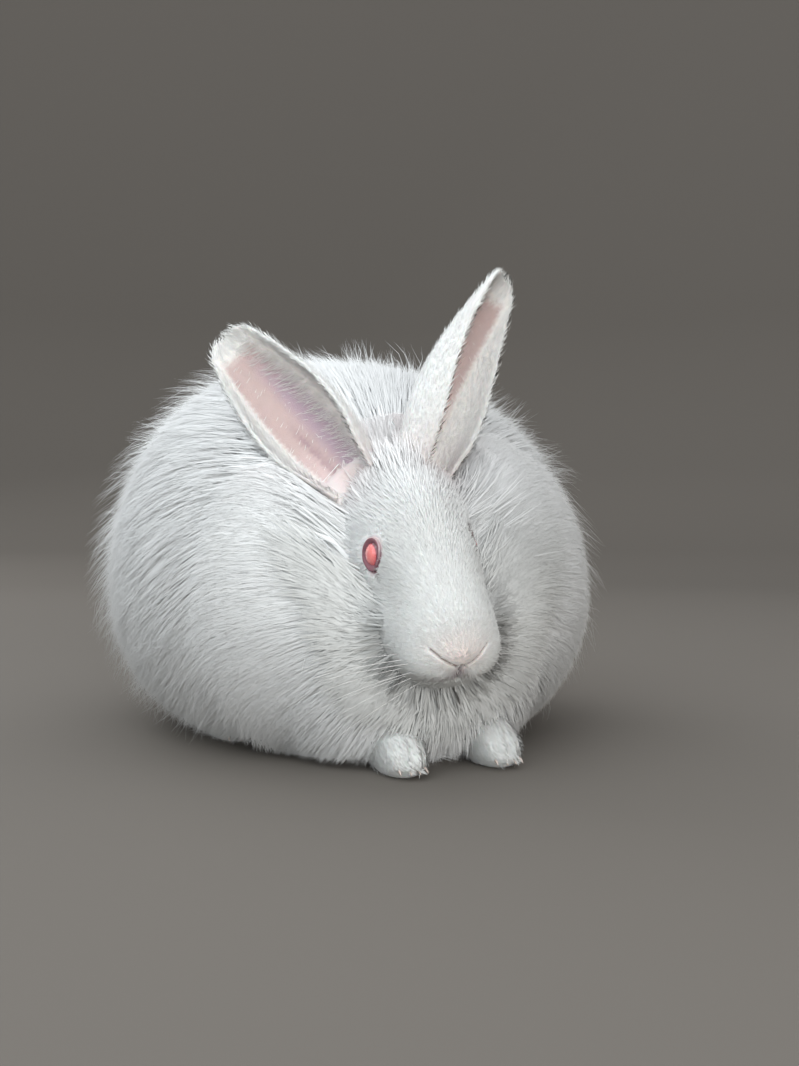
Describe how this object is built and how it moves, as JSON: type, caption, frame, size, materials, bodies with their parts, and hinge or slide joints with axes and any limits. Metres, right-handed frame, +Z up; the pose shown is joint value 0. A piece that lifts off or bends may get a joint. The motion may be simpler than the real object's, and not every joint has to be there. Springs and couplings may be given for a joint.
{
  "type": "angora rabbit",
  "caption": "White angora rabbit with ruby eyes, sitting as a round ball of long wool with both ears up.",
  "frame": {"origin": "on the floor under the middle of the rabbit's box", "axes": "+X to the rabbit's left, +Y from the nose to the tail, +Z up"},
  "size_m": [0.2714, 0.3354, 0.2381],
  "materials": {
    "wool": "long soft white wool",
    "face_fur": "short white fur",
    "ear_skin": "thin pink skin with short white hair",
    "eye": "wet gloss"
  },
  "bodies": {
    "root": {"head": "face_fur", "neck": "wool", "torso": "wool", "tail": "wool", "ear_left": "ear_skin", "ear_right": "ear_skin", "eye_left": "eye", "eye_right": "eye", "foreleg_left": "face_fur", "foreleg_right": "face_fur", "hindleg_left": "face_fur", "hindleg_right": "face_fur"}
  },
  "joints": []
}
